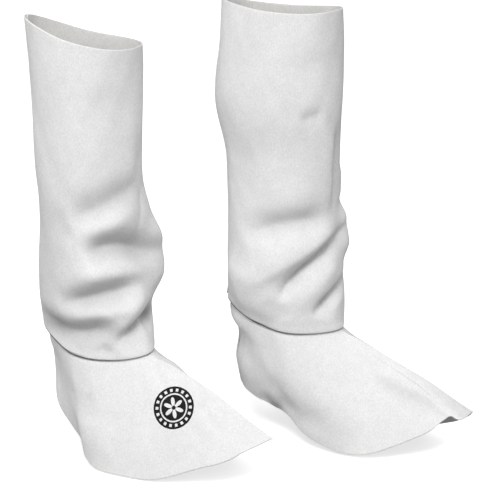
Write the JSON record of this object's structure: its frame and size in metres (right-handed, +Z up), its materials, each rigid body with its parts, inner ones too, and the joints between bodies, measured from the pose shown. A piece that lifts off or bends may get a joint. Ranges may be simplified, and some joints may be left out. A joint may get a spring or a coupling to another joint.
{
  "type": "pair of leather welding spats",
  "caption": "Pair of pale leather spats with a tube-shaped leg panel sewn over a flared, pointed foot cover, hollow as worn.",
  "frame": {"origin": "midway between the two ankles, 128 mm above the lowest point of the hems", "axes": "+Z up, toes toward -Y, +X toward the wearer's left"},
  "size_m": [0.3038, 0.4377, 0.4889],
  "materials": {
    "leather_leg_panel_right": "matte, fine nap",
    "leather_foot_cover_right": "matte, fine nap",
    "leather_leg_panel_left": "matte, fine nap",
    "leather_foot_cover_left": "matte, fine nap"
  },
  "bodies": {
    "root": {"leg_panel_right": "leather_leg_panel_right", "foot_cover_right": "leather_foot_cover_right", "leg_panel_left": "leather_leg_panel_left", "foot_cover_left": "leather_foot_cover_left"}
  },
  "joints": []
}
